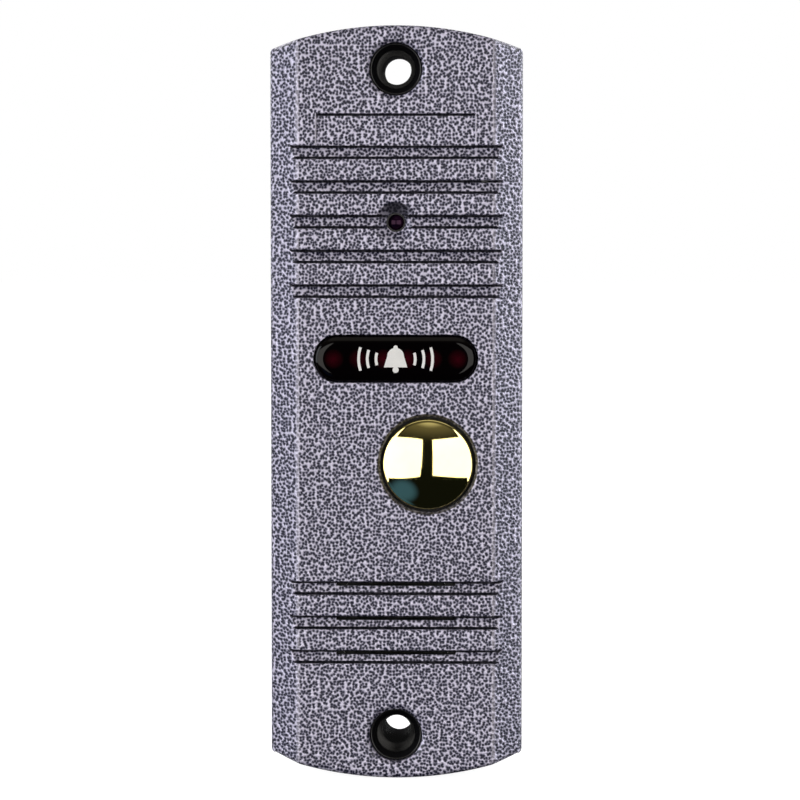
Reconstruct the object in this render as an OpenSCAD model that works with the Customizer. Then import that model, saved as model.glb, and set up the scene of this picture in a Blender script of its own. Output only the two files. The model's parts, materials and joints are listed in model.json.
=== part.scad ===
// Outdoor video door station: a die-cast call panel with a pinhole camera, an infrared window,
// a domed call button and a speaker, fixed to a wall by two screws through its face.
//
// Frame: the origin is the centre of the wall face, +Z is up and the front looks along -Y.
// Each part is drawn lying on its back (X to the right, Y up the panel, Z out of the wall)
// and then stood up by stand().

/* [Housing] */
// Width of the housing
housing_w = 41; // [41:1:46]
// Height of the housing
housing_h = 122; // [122:1:128]
// Depth of the housing, from the wall to its flat front
housing_d = 23; // [23:0.5:25]
// Radius of the arched top and bottom
end_arc_r = 58; // [50:1:80]
// Width of the 45 degree bevel along the long sides
bevel = 4.6; // [4.4:0.1:4.8]
// Thickness of the side walls
side_wall = 2; // [1.8:0.1:2.2]
// Thickness of the front wall
front_wall = 2.6; // [2.4:0.1:2.8]

/* [Grooves] */
// Distance from one groove to the next
groove_pitch = 5.6; // [5.4:0.1:5.8]
// Height of one groove
groove_h = 2.15; // [1.8:0.05:2.4]
// Depth of a groove along its upper edge
groove_deep = 1.1; // [0.9:0.1:1.2]
// Depth of a groove along its lower edge
groove_shallow = 0.55; // [0.4:0.05:0.7]
// Number of grooves above the window
upper_grooves = 5; // [4:1:5]
// Height of the uppermost groove's upper edge
upper_groove_y = 41.7; // [41.5:0.1:42]
// Number of grooves over the speaker
lower_grooves = 3; // [2:1:3]
// Height of the speaker grooves' first upper edge
lower_groove_y = -28.9; // [-29.1:0.1:-28.7]

/* [Wall screws] */
// Distance between the two wall screws
screw_pitch = 108; // [107:0.5:108]
// Diameter of the hole for a wall screw
screw_hole_d = 4.7; // [4.2:0.1:5]
// Diameter of the pocket that takes a screw's head
screw_head_d = 6.2; // [5.8:0.1:6.6]

/* [Call button] */
// Diameter of the domed cap
cap_d = 14.7; // [14:0.1:15]
// Height of the dome above the flat front
cap_proud = 1; // [0.8:0.1:1.2]
// Travel of the button
button_travel = 1.2; // [0.8:0.1:1.2]
// Sideways place of the button's centre
button_x = 5.2; // [4.8:0.1:5.2]
// Height of the button's centre
button_y = -9.8; // [-10:0.1:-9.6]

/* [Window] */
// Length of the dark window
window_w = 26.3; // [25:0.1:27]
// Height of the dark window
window_h = 7.4; // [7:0.1:7.6]
// Height of the window's centre
window_y = 7.3; // [7.2:0.1:7.4]

/* [Camera] */
// Height of the camera's centre
camera_y = 29.3; // [29:0.1:29.5]
// Diameter of the opening in front of the lens
pinhole_d = 3.1; // [3:0.1:3.3]

/* [Hidden] */
$fn = 64;
tiny = 0.01;

// depths from the wall
cover_t = 2;
cover_gasket_t = 0.8;
inner_front = housing_d - front_wall;
rear_ledge = cover_t + cover_gasket_t;
board_back = 6.6;
board_t = 1.6;
board_w = 33;
board_h = 84;
board_front = board_back + board_t;

// housing
inner_half_w = housing_w / 2 - side_wall;
bevel_line = housing_w / 2 + housing_d - bevel;
inner_bevel = inner_half_w + inner_front - (bevel_line - side_wall * sqrt(2));
rim_wall = 1;
slit_clearance = 0.15;
label_w = 25.6;
label_h = 5.1;
label_depth = 0.4;
slot_half_w = 9.7;
slot_h = 0.45;
slot_drop = 0.3;
tube_d = 8.3;
tube_hole_d = 8.6;
tube_front = 21.6;
tube_funnel = 1.1;
tube_step = 16;

// screws
pilot_r = 1.05;
clear_r = 1.25;
thread_r = 1;
board_post = [14.2, 22, -21];
cover_post = [15.2, 46.4];
speaker_post_x = 14.6;
guide_post = [[-7.4, -9.8], [5.2, -22]];

// call button
button_sink = 0.85;
guide_r = 10.2;
flange_r = 9;
flange_back = 18.8;
flange_front = 19.8;
plug_r = 6.7;
stem_end = 16.5;
guide_floor = 14.4;
switch_w = 12;
switch_front = 14.2;
plunger_r = 2;
plunger_back = 10.8;

// camera
camera_board_w = 21;
camera_board_h = 23;
camera_board_back = 11;
camera_board_front = 12;
camera_post = [8.6, 9.2];
barrel_r = 6;
lens_mount_r = 7;

// window and light board
window_back = 18.9;
window_flange_t = 1;
window_flange_w = 1.6;
window_front = housing_d + 0.4;
window_corner = 0.9;
led_board_w = 28;
led_board_h = 8.6;
led_board_back = 12.4;
led_board_front = 13.4;
led_x = [-10, -6, -2, 2, 6, 10];

// speaker
speaker_y = -35.5;
speaker_r = 11.5;
speaker_rim = 18.8;
gap_r = 3.5;
slug_r = 2.5;

// microphone
mic_x = 14.4;
mic_y = 35.8;

// volume trimmer and line connector, on the back of the main board
trimmer_x = -9;
trimmer_y = -4;
trimmer_w = 6.6;
rotor_r = 2.2;
grommet_x = 6;
grommet_y = 12;
grommet_hole_r = 4;

// leads: chosen points, each from a board pad to its part
speaker_lead_route = [
    [4.6, -26.6, 9.6], [4.6, -26.6, 10.6], [4.6, -27.2, 11.6], [4.6, -28.3, 12.4],
    [4.6, -29.5, 13], [4.6, -30.5, 13.6], [4.6, -30.9, 14.3], [4.6, -30.9, 15]
];
mic_lead_route = [
    [13.6, 31.4, 8.2], [13.6, 31.4, 9.2], [13.7, 31.8, 10.4],
    [13.8, 32.8, 11.6], [13.8, 34, 12.6], [13.8, 34.8, 13.6], [13.8, 35, 14.6], [13.8, 35, 15.6]
];

// ---------- helpers ----------

// stands a part up: drawn X, Y, Z become right, up and out of the wall (-Y)
module stand() {
    rotate([90, 0, 0]) children();
}

// a plain disc or pin from one depth to another
module disc(r, from, to) {
    translate([0, 0, from]) cylinder(r = r, h = to - from);
}

// a cone from radius r1 at one depth to radius r2 at another
module cone(r1, r2, from, to) {
    translate([0, 0, from]) cylinder(r1 = r1, r2 = r2, h = to - from);
}

// a flat ring from one depth to another
module ring(outer, inner, from, to) {
    difference() {
        disc(outer, from, to);
        disc(inner, from - 1, to + 1);
    }
}

// a rectangular block centred on X and Y
module block(w, h, from, to) {
    translate([-w / 2, -h / 2, from]) cube([w, h, to - from]);
}

// copies its children at the four mirrored places of a point
module four(x, y) {
    for (sx = [-1, 1], sy = [-1, 1]) translate([sx * x, sy * y, 0]) children();
}

// copies its children at each place of a list
module each_at(places) {
    for (p = places) translate([p[0], p[1], 0]) children();
}

// the panel's outline, drawn in by an inset: straight sides between two arched ends
module outline(inset) {
    intersection() {
        square([housing_w - 2 * inset, housing_h - 2 * inset], center = true);
        for (s = [-1, 1])
            translate([0, s * (housing_h / 2 - end_arc_r)])
                circle(r = end_arc_r - inset, $fn = 180);
    }
}

// a long bar with bevelled front corners, for the housing and its hollow
module bevelled_bar(half_w, depth, corner) {
    rotate([90, 0, 0])
        linear_extrude(housing_h + 2, center = true)
            polygon([
                [-half_w, 0], [half_w, 0], [half_w, depth - corner],
                [half_w - corner, depth], [corner - half_w, depth], [-half_w, depth - corner]
            ]);
}

// a slot with round ends
module slot_outline(w, h) {
    square([w - h, h], center = true);
    for (s = [-1, 1]) translate([s * (w - h) / 2, 0]) circle(d = h);
}

// half of a plate's section with a rounded outer front corner
module rounded_half(half, from, to, corner) {
    translate([0, from]) square([half - corner, to - from]);
    translate([0, from]) square([half, to - from - corner]);
    translate([half - corner, to - corner]) circle(r = corner, $fn = 32);
}

// a screw with a round head at the back, its shank pointing to the front
module pan_screw(head_back, head_front, shank_end) {
    disc(thread_r * 2, head_back, head_front);
    disc(thread_r, head_front, shank_end);
}

// a round tube swept along a route, closed at both ends
function unit(v) = v / norm(v);
function tangent_at(path, i) =
    unit(path[min(i + 1, len(path) - 1)] - path[max(i - 1, 0)]);
function side_of(t) = unit(cross(t, abs(t[1]) < 0.9 ? [0, 1, 0] : [1, 0, 0]));
function ring_points(path, i, r, sides) =
    let (t = tangent_at(path, i), u = side_of(t), v = cross(t, u))
    [for (k = [0:sides - 1])
        path[i] + r * (cos(360 * k / sides) * u + sin(360 * k / sides) * v)];
module swept_tube(path, r, sides) {
    n = len(path);
    points = [for (i = [0:n - 1]) each ring_points(path, i, r, sides)];
    first_cap = [for (k = [0:sides - 1]) k];
    last_cap = [for (k = [sides - 1:-1:0]) (n - 1) * sides + k];
    walls = [
        for (i = [0:n - 2], k = [0:sides - 1])
            [
                i * sides + k, (i + 1) * sides + k,
                (i + 1) * sides + (k + 1) % sides, i * sides + (k + 1) % sides
            ]
    ];
    polyhedron(points, concat([first_cap, last_cap], walls));
}

// ---------- housing ----------

// one groove across the whole width, deeper along its upper edge
module groove(top) {
    translate([-housing_w / 2 - 1, 0, 0])
        rotate([90, 0, 90])
            linear_extrude(housing_w + 2)
                polygon([
                    [top, housing_d + 1], [top, housing_d - groove_deep],
                    [top - groove_h, housing_d - groove_shallow], [top - groove_h, housing_d + 1]
                ]);
}

module housing_posts() {
    for (sx = [-1, 1], y = [board_post[1], board_post[2]])
        translate([sx * board_post[0], y, 0]) disc(2.3, board_front, inner_front + tiny);
    four(cover_post[0], cover_post[1]) disc(2.6, cover_t, inner_front + tiny);
    for (sx = [-1, 1])
        translate([sx * speaker_post_x, speaker_y, 0]) disc(2, speaker_rim, inner_front + tiny);
    each_at(guide_post) disc(1.9, 17.4, inner_front + tiny);
    for (sy = [-1, 1])
        translate([0, sy * screw_pitch / 2, 0]) disc(5.8, 14, inner_front + tiny);
}

module housing_pilot_holes() {
    for (sx = [-1, 1], y = [board_post[1], board_post[2]])
        translate([sx * board_post[0], y, 0]) disc(pilot_r, board_front - 1, 16);
    four(cover_post[0], cover_post[1]) disc(pilot_r, 0, 11);
    for (sx = [-1, 1])
        translate([sx * speaker_post_x, speaker_y, 0]) disc(pilot_r, speaker_rim - 1, 21.2);
    each_at(guide_post) disc(pilot_r, 17, 21.2);
}

module housing_openings() {
    for (sy = [-1, 1])
        translate([0, sy * screw_pitch / 2, 0]) {
            disc(tube_hole_d / 2, 13, housing_d + 1);
            cone(tube_hole_d / 2 - 0.5, tube_hole_d / 2 + 0.5, housing_d - 0.8, housing_d + 0.2);
        }
    translate([0, window_y, inner_front - 1])
        linear_extrude(front_wall + 2)
            slot_outline(window_w + 2 * slit_clearance, window_h + 2 * slit_clearance);
    translate([button_x, button_y, 0]) {
        disc(cap_d / 2 + 0.4, inner_front - 1, housing_d + 1);
        cone(cap_d / 2, cap_d / 2 + 1.2 * button_sink, housing_d - 1, housing_d + 0.2);
    }
    translate([0, camera_y, 0]) {
        disc(2.7, inner_front - 1, inner_front + 0.5);
        disc(pinhole_d / 2, inner_front, housing_d);
        cone(pinhole_d / 2, 3.8, housing_d - 1.6, housing_d + 0.4);
    }
    for (i = [0:lower_grooves - 1])
        translate([0, lower_groove_y - i * groove_pitch - slot_drop - slot_h / 2, 0])
            block(2 * slot_half_w, slot_h, inner_front - 1, housing_d + 1);
    translate([mic_x, upper_groove_y - groove_pitch - 0.2, 0])
        block(1.4, 0.4, inner_front - 3, housing_d + 1);
}

module front_housing() {
    color([0.55, 0.54, 0.58]) stand() difference() {
        union() {
            difference() {
                intersection() {
                    bevelled_bar(housing_w / 2, housing_d, bevel);
                    linear_extrude(housing_d) outline(0);
                }
                intersection() {
                    translate([0, 0, -1])
                        bevelled_bar(inner_half_w, inner_front + 1, inner_bevel);
                    translate([0, 0, -1]) linear_extrude(housing_d) outline(side_wall);
                }
                translate([0, 0, -1]) linear_extrude(rear_ledge + 1) outline(rim_wall);
            }
            intersection() {
                housing_posts();
                linear_extrude(housing_d - 1) outline(side_wall / 2);
            }
        }
        housing_pilot_holes();
        housing_openings();
        for (i = [0:upper_grooves - 1]) groove(upper_groove_y - i * groove_pitch);
        for (i = [0:lower_grooves - 1]) groove(lower_groove_y - i * groove_pitch);
        translate([0, upper_groove_y + label_h / 2 - tiny, 0])
            block(label_w, label_h + 2 * tiny, housing_d - label_depth, housing_d + 1);
    }
}

// ---------- window ----------

// a slot-shaped plate whose front edge is rounded
module rounded_slot(w, h, from, to, corner) {
    rotate([90, 0, 90])
        linear_extrude(w - h, center = true) {
            rounded_half(h / 2, from, to, corner);
            mirror([1, 0]) rounded_half(h / 2, from, to, corner);
        }
    for (s = [-1, 1])
        translate([s * (w - h) / 2, 0, 0])
            rotate_extrude() intersection() {
                rounded_half(h / 2, from, to, corner);
                square([h, to + 1]);
            }
}

module window_flange_outline() {
    slot_outline(window_w + 2 * window_flange_w, window_h + 2 * window_flange_w);
}

module window_lens() {
    color([0.12, 0.02, 0.03]) stand() translate([0, window_y, 0]) {
        rounded_slot(window_w, window_h, window_back, window_front, window_corner);
        translate([0, 0, window_back])
            linear_extrude(window_flange_t) window_flange_outline();
    }
}

module window_seal() {
    seal_back = window_back + window_flange_t;
    color([0.1, 0.1, 0.1]) stand() translate([0, window_y, seal_back])
        linear_extrude(inner_front - seal_back) difference() {
            window_flange_outline();
            slot_outline(window_w + 2 * slit_clearance, window_h + 2 * slit_clearance);
        }
}

// a plain bell between sound arcs, printed on the window
module call_symbol() {
    print_t = 0.04;
    bell_r = 1.35;
    mouth_w = 1.9;
    mouth_y = -1.35;
    crown_y = 0.45;
    arc_w = 0.45;
    arc_spread = 3;
    color([0.95, 0.95, 0.95]) stand() translate([0, window_y, window_front])
        linear_extrude(print_t) {
            translate([0, crown_y]) circle(r = bell_r);
            polygon([
                [-bell_r, crown_y], [-mouth_w, mouth_y], [mouth_w, mouth_y], [bell_r, crown_y]
            ]);
            translate([0, -1.75]) circle(r = 0.5);
            translate([0, 1.85]) circle(r = 0.35);
            for (s = [-1, 1], r = [3.4, 4.8, 6.2])
                intersection() {
                    difference() {
                        circle(r = r);
                        circle(r = r - arc_w);
                    }
                    polygon([[0, 0], [s * arc_spread * r, r], [s * arc_spread * r, -r]]);
                }
        }
}

// ---------- call button ----------

module at_button() {
    translate([button_x, button_y, 0]) children();
}

module button_cap() {
    dome_top = housing_d + cap_proud;
    dome_r = 20;
    color([0.85, 0.7, 0.35]) stand() at_button() difference() {
        rotate_extrude() intersection() {
            translate([0, dome_top - dome_r]) circle(r = dome_r, $fn = 180);
            rounded_half(cap_d / 2, flange_front, dome_top - 1, 0.5);
            square([cap_d, dome_top + 1]);
        }
        disc(plug_r + 0.05, flange_front - 1, 21.6);
    }
    color([0.85, 0.7, 0.35]) stand() at_button() rotate_extrude() intersection() {
        translate([0, dome_top - dome_r]) circle(r = dome_r, $fn = 180);
        translate([0, dome_top - 1 - tiny]) square([dome_r, 2]);
    }
}

module button_carrier() {
    color([0.12, 0.12, 0.13]) stand() at_button() {
        disc(plug_r, flange_front - tiny, 21.6);
        disc(flange_r, flange_back, flange_front);
        disc(2.3, stem_end, flange_back + tiny);
    }
}

module button_seal() {
    seal_r = 0.25;
    color([0.05, 0.05, 0.05]) stand() at_button()
        translate([0, 0, flange_front + seal_r])
            rotate_extrude() translate([flange_r - 0.6, 0]) circle(r = seal_r, $fn = 24);
}

module button_guide() {
    color([0.2, 0.2, 0.22]) stand() difference() {
        union() {
            at_button() disc(guide_r, guide_floor, inner_front);
            each_at(guide_post) disc(2.2, guide_floor + 1, 17.4);
            translate([guide_post[0][0], button_y - 1.5, guide_floor + 1]) cube([4, 3, 2]);
            translate([button_x - 1.5, guide_post[1][1], guide_floor + 1]) cube([3, 3, 2]);
        }
        at_button() disc(flange_r + 0.1, guide_floor + 1, inner_front + 1);
        at_button() disc(2.6, guide_floor - 1, guide_floor + 2);
        each_at(guide_post) disc(clear_r, guide_floor, 18);
    }
}

module guide_screws() {
    color([0.75, 0.75, 0.77]) stand() each_at(guide_post)
        pan_screw(guide_floor, guide_floor + 1, 20.6);
}

module button_spring() {
    turns = 3;
    steps = 16;
    wire_r = 0.22;
    coil_r = 4.4;
    low = guide_floor + 1 + wire_r;
    rise = flange_back - wire_r - low;
    path = [
        for (i = [0:turns * steps])
            [
                coil_r * cos(360 * i / steps), coil_r * sin(360 * i / steps),
                low + rise * i / (turns * steps)
            ]
    ];
    color([0.8, 0.8, 0.82]) stand() at_button() swept_tube(path, wire_r, 8);
}

module push_switch_body() {
    color([0.1, 0.1, 0.1]) stand() at_button() difference() {
        block(switch_w, switch_w, board_front, switch_front);
        disc(plunger_r + 0.1, plunger_back - button_travel - 0.3, switch_front + 1);
    }
}

module push_switch_plunger() {
    color([0.85, 0.82, 0.75]) stand() at_button() disc(plunger_r, plunger_back, stem_end - 0.1);
}

// ---------- camera ----------

module at_camera() {
    translate([0, camera_y, 0]) children();
}

module camera_board() {
    color([0.05, 0.3, 0.15]) stand() at_camera() difference() {
        block(camera_board_w, camera_board_h, camera_board_back, camera_board_front);
        four(camera_post[0], camera_post[1]) disc(pilot_r + 0.1, 10, 13);
    }
}

module image_sensor() {
    color([0.15, 0.15, 0.2]) stand() at_camera() block(6.4, 6.4, camera_board_front, 12.9);
}

module lens_mount() {
    color([0.08, 0.08, 0.08]) stand() at_camera() difference() {
        union() {
            block(14, 14, camera_board_front, 14.4);
            disc(lens_mount_r, 14.4 - tiny, 17);
        }
        disc(barrel_r + 0.05, 13.4, 18);
        block(8, 8, camera_board_front - 1, 13.4 + tiny);
    }
}

module lens_barrel() {
    color([0.06, 0.06, 0.07]) stand() at_camera() difference() {
        union() {
            disc(barrel_r, 13.7, 18.4);
            cone(4.6, 2.6, 18.4 - tiny, 19.9);
            disc(2.5, 19.9 - tiny, inner_front + 0.4);
        }
        disc(1.2, 19, inner_front + 1);
        disc(4, 13, 16);
    }
}

module lens_glass() {
    color([0.15, 0.05, 0.12]) stand() at_camera() rotate_extrude() intersection() {
        square([1.15, inner_front + 0.3]);
        translate([0, inner_front + 0.3 - 2.2]) circle(r = 2.2);
        translate([0, 19.4]) square([2, 2]);
    }
}

module lens_lock_ring() {
    color([0.3, 0.3, 0.32]) stand() at_camera() ring(lens_mount_r, barrel_r + 0.05, 17, 18);
}

module camera_gasket() {
    color([0.08, 0.08, 0.08]) stand() at_camera() ring(5, 2.8, 20, inner_front);
}

module camera_standoffs() {
    color([0.8, 0.65, 0.35]) stand() at_camera() four(camera_post[0], camera_post[1])
        difference() {
            translate([0, 0, board_front])
                cylinder(r = 1.8, h = camera_board_back - board_front, $fn = 6);
            disc(pilot_r, board_front - 1, camera_board_back + 1);
        }
}

module camera_screws() {
    color([0.75, 0.75, 0.77]) stand() at_camera() four(camera_post[0], camera_post[1]) {
        disc(1.6, camera_board_front, camera_board_front + 0.9);
        disc(thread_r, board_front + 0.4, camera_board_front + tiny);
    }
}

module camera_connector() {
    color([0.9, 0.88, 0.8]) stand() translate([0, camera_y + 9, 0])
        block(8, 2.4, board_front, camera_board_back);
}

// ---------- light board ----------

module at_window() {
    translate([0, window_y, 0]) children();
}

module led_board() {
    color([0.05, 0.3, 0.15]) stand() at_window()
        block(led_board_w, led_board_h, led_board_back, led_board_front);
}

module ir_led(i) {
    lamp_r = 1.5;
    collar_r = 1.9;
    dome_start = 17.1;
    color([0.45, 0.05, 0.1]) stand() translate([led_x[i - 1], window_y, 0]) {
        disc(collar_r, led_board_front, led_board_front + 1);
        disc(lamp_r, led_board_front + 1 - tiny, dome_start);
        translate([0, 0, dome_start]) rotate_extrude() intersection() {
            circle(r = lamp_r);
            square(2);
        }
    }
}

module light_sensor() {
    color([0.2, 0.2, 0.2]) stand() translate([0, window_y + 3.1, 0])
        block(2, 1.3, led_board_front, led_board_front + 0.8);
}

module led_connector() {
    color([0.12, 0.12, 0.12]) stand() at_window() for (s = [-1, 1])
        translate([s * 11.5, 0, 0]) block(2.5, 5, board_front, led_board_back);
}

// ---------- main board ----------

module main_board() {
    color([0.05, 0.35, 0.18]) stand() difference() {
        block(board_w, board_h, board_back, board_front);
        for (sx = [-1, 1], y = [board_post[1], board_post[2]])
            translate([sx * board_post[0], y, 0]) disc(clear_r, board_back - 1, board_front + 1);
    }
}

module board_screws() {
    color([0.75, 0.75, 0.77]) stand()
        for (sx = [-1, 1], y = [board_post[1], board_post[2]])
            translate([sx * board_post[0], y, 0]) pan_screw(board_back - 1.4, board_back, 15);
}

// a flat chip with two rows of legs that reach the board's back face
module chip(w, h, t, legs) {
    block(w, h, board_back - t, board_back - 0.1);
    for (s = [-1, 1], i = [0:legs - 1])
        translate([s * (w / 2 + 0.4), (i - (legs - 1) / 2) * 1.27, 0])
            block(0.8, 0.45, board_back - t / 2, board_back);
}

module audio_ic() {
    color([0.08, 0.08, 0.08]) stand() translate([7, -28, 0]) chip(4, 9.8, 1.6, 7);
}

module control_ic() {
    color([0.08, 0.08, 0.08]) stand() translate([-8, 30, 0]) chip(7.4, 10.2, 1.9, 8);
}

module voltage_regulator() {
    color([0.08, 0.08, 0.08]) stand() translate([7, 32, 0]) {
        block(6.5, 3.5, board_back - 1.6, board_back - 0.1);
        for (x = [-2.3, 0, 2.3])
            translate([x, -2.4, 0]) block(0.7, 1.4, board_back - 0.8, board_back);
        translate([0, 2.4, 0]) block(3, 1.4, board_back - 0.8, board_back);
    }
}

// an upright can with a rounded rim, standing on the board's back face
module capacitor(x, y) {
    can_r = 2.2;
    can_h = 3.8;
    color([0.15, 0.17, 0.3]) stand() translate([x, y, board_back]) mirror([0, 0, 1])
        rotate_extrude() intersection() {
            rounded_half(can_r, 0, can_h, 0.4);
            square([can_r, can_h]);
        }
}

module capacitor_1() {
    capacitor(-12, 17);
}

module capacitor_2() {
    capacitor(-12, 11);
}

module capacitor_3() {
    capacitor(12, -36);
}

module line_connector() {
    pins = 4;
    pitch = 2;
    color([0.93, 0.9, 0.82]) stand() translate([6, 1, 0]) difference() {
        block(pins * pitch + 2, 4.5, 2.8, board_back);
        for (i = [0:pins - 1])
            translate([(i - (pins - 1) / 2) * pitch, 0, 0]) block(1.2, 2.6, 2, 5.6);
    }
}

module speaker_connector() {
    color([0.93, 0.9, 0.82]) stand() translate([4.6, -26.6, 0])
        block(3.6, 2.6, board_front, board_front + 1.4);
}

module at_trimmer() {
    translate([trimmer_x, trimmer_y, 0]) children();
}

module trimmer_body() {
    color([0.15, 0.3, 0.65]) stand() at_trimmer() difference() {
        block(trimmer_w, trimmer_w, 3.4, board_back);
        disc(rotor_r + 0.05, 3, 5.2);
    }
}

module trimmer_rotor() {
    color([0.93, 0.93, 0.9]) stand() at_trimmer() difference() {
        disc(rotor_r, 3.2, 5.1);
        block(0.6, 3, 3, 3.9);
        block(1.8, 0.6, 3, 3.9);
    }
}

// ---------- speaker ----------

module at_speaker() {
    translate([0, speaker_y, 0]) children();
}

module speaker_gasket() {
    color([0.1, 0.1, 0.1]) stand() at_speaker() ring(speaker_r, 10, speaker_rim + 1, inner_front);
}

module speaker_basket() {
    color([0.7, 0.7, 0.72]) stand() at_speaker() rotate_extrude()
        polygon([
            [9.9, speaker_rim + 1], [speaker_r, speaker_rim + 1], [speaker_r, speaker_rim],
            [9.8, speaker_rim], [7.6, 15], [gap_r + 0.4, 15], [gap_r + 0.4, 15.6],
            [7.1, 15.6], [9.3, speaker_rim + 0.4], [9.9, speaker_rim + 0.4]
        ]);
}

module speaker_yoke() {
    color([0.55, 0.55, 0.58]) stand() at_speaker() difference() {
        disc(5.4, 11.8, 15);
        disc(gap_r, 12.8, 16);
    }
}

module speaker_magnet() {
    color([0.65, 0.65, 0.68]) stand() at_speaker() disc(slug_r, 12.8, 15);
}

module voice_coil() {
    color([0.7, 0.4, 0.2]) stand() at_speaker() ring(3.15, 2.85, 13.6, 16.6);
}

// a paper cone with a domed dust cap, its neck on the voice coil
module speaker_cone() {
    color([0.12, 0.12, 0.12]) stand() at_speaker() rotate_extrude() {
        polygon([
            [2.85, 16.6], [3.4, 16.6], [8.3, 18.9], [8.3, 19.3], [3.1, 17.1], [2.85, 17.1]
        ]);
        intersection() {
            difference() {
                translate([0, 14.1]) circle(r = 4.2);
                translate([0, 14.1]) circle(r = 3.9);
            }
            translate([0, 17]) square([3.2, 3]);
        }
    }
}

module speaker_surround() {
    roll_r = 0.75;
    color([0.1, 0.1, 0.1]) stand() at_speaker() rotate_extrude() {
        translate([9.05, 19.2]) intersection() {
            difference() {
                circle(r = roll_r);
                circle(r = roll_r - 0.15);
            }
            translate([-1, 0]) square([2, 1]);
        }
        translate([9.65, 19.2]) square([0.25, 0.4]);
    }
}

module speaker_clamp() {
    color([0.3, 0.3, 0.32]) stand() at_speaker() difference() {
        union() {
            disc(12.2, speaker_rim - 1, speaker_rim);
            for (s = [-1, 1]) translate([s * speaker_post_x, 0, 0]) disc(2, speaker_rim - 1, speaker_rim);
            block(2 * speaker_post_x, 4, speaker_rim - 1, speaker_rim);
        }
        disc(10.4, speaker_rim - 2, speaker_rim + 1);
        for (s = [-1, 1])
            translate([s * speaker_post_x, 0, 0]) disc(clear_r, speaker_rim - 2, speaker_rim + 1);
    }
}

module speaker_screws() {
    color([0.75, 0.75, 0.77]) stand() at_speaker() for (s = [-1, 1])
        translate([s * speaker_post_x, 0, 0]) pan_screw(speaker_rim - 2.2, speaker_rim - 1, 20.8);
}

module speaker_leads() {
    color([0.75, 0.1, 0.1]) stand() for (dx = [-0.8, 0.8])
        translate([dx, 0, 0]) swept_tube(speaker_lead_route, 0.4, 8);
}

// ---------- microphone ----------

module at_mic() {
    translate([mic_x, mic_y, 0]) children();
}

module mic_capsule() {
    color([0.8, 0.8, 0.82]) stand() at_mic() disc(2, 15.6, 17.1);
}

module mic_boot() {
    color([0.08, 0.08, 0.08]) stand() at_mic() difference() {
        union() {
            disc(2.8, 15.6, 18.6);
            disc(1.2, 18.6 - tiny, inner_front);
        }
        disc(2, 15, 17.1);
        disc(0.6, 16, inner_front + 1);
    }
}

module mic_leads() {
    color([0.2, 0.2, 0.2]) stand() for (dx = [0, 1.2])
        translate([dx, 0, 0]) swept_tube(mic_lead_route, 0.35, 8);
}

// ---------- back cover ----------

module back_cover() {
    color([0.05, 0.05, 0.05]) stand() difference() {
        union() {
            linear_extrude(cover_t) outline(rim_wall + 0.15);
            for (sy = [-1, 1])
                translate([0, sy * screw_pitch / 2, 0]) disc(tube_d / 2, cover_t - tiny, tube_front);
        }
        for (sy = [-1, 1])
            translate([0, sy * screw_pitch / 2, 0]) {
                disc(screw_hole_d / 2, -1, tube_front + 1);
                disc(screw_head_d / 2, tube_step, tube_front + 1);
                cone(
                    screw_head_d / 2, tube_d / 2 - 0.2,
                    tube_front - tube_funnel, tube_front + tiny
                );
            }
        four(cover_post[0], cover_post[1]) {
            disc(clear_r, -1, cover_t + 1);
            cone(2.4, clear_r, -tiny, 1.2);
        }
        translate([grommet_x, grommet_y, 0]) {
            disc(grommet_hole_r, -1, cover_t + 1);
            disc(5.3, -1, 0.8);
        }
        at_trimmer() disc(1.8, -1, cover_t + 1);
    }
}

module cover_gasket() {
    color([0.15, 0.15, 0.15]) stand() translate([0, 0, cover_t])
        linear_extrude(cover_gasket_t) difference() {
            outline(rim_wall + 0.15);
            outline(side_wall);
        }
}

module cover_screws() {
    color([0.75, 0.75, 0.77]) stand() four(cover_post[0], cover_post[1]) {
        cone(2.3, thread_r, 0, 1.2);
        disc(thread_r, 1.2 - tiny, 10);
    }
}

module cable_grommet() {
    color([0.06, 0.06, 0.06]) stand() translate([grommet_x, grommet_y, 0]) difference() {
        union() {
            disc(5.2, 0, 0.8);
            disc(grommet_hole_r, 0.8 - tiny, cover_t + tiny);
            disc(5.2, cover_t, cover_t + 0.7);
        }
        disc(2.5, -1, cover_t + 2);
    }
}

// ---------- assembly ----------

front_housing();
window_lens();
window_seal();
call_symbol();
button_cap();
button_carrier();
button_seal();
button_guide();
guide_screws();
button_spring();
push_switch_body();
push_switch_plunger();
camera_board();
image_sensor();
lens_mount();
lens_barrel();
lens_glass();
lens_lock_ring();
camera_gasket();
camera_standoffs();
camera_screws();
camera_connector();
led_board();
ir_led(1);  // ir_led_1
ir_led(2);  // ir_led_2
ir_led(3);  // ir_led_3
ir_led(4);  // ir_led_4
ir_led(5);  // ir_led_5
ir_led(6);  // ir_led_6
light_sensor();
led_connector();
main_board();
audio_ic();
control_ic();
voltage_regulator();
capacitor_1();
capacitor_2();
capacitor_3();
line_connector();
speaker_connector();
trimmer_body();
trimmer_rotor();
board_screws();
speaker_basket();
speaker_yoke();
speaker_magnet();
voice_coil();
speaker_cone();
speaker_surround();
speaker_gasket();
speaker_clamp();
speaker_screws();
speaker_leads();
mic_capsule();
mic_boot();
mic_leads();
back_cover();
cover_gasket();
cover_screws();
cable_grommet();
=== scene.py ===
"""Looks of the outdoor call panel: finely rounded visible pieces, materials, light and camera."""

import json
import math
from contextlib import contextmanager

import bmesh
import bpy
from mathutils import Matrix, Vector


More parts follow.
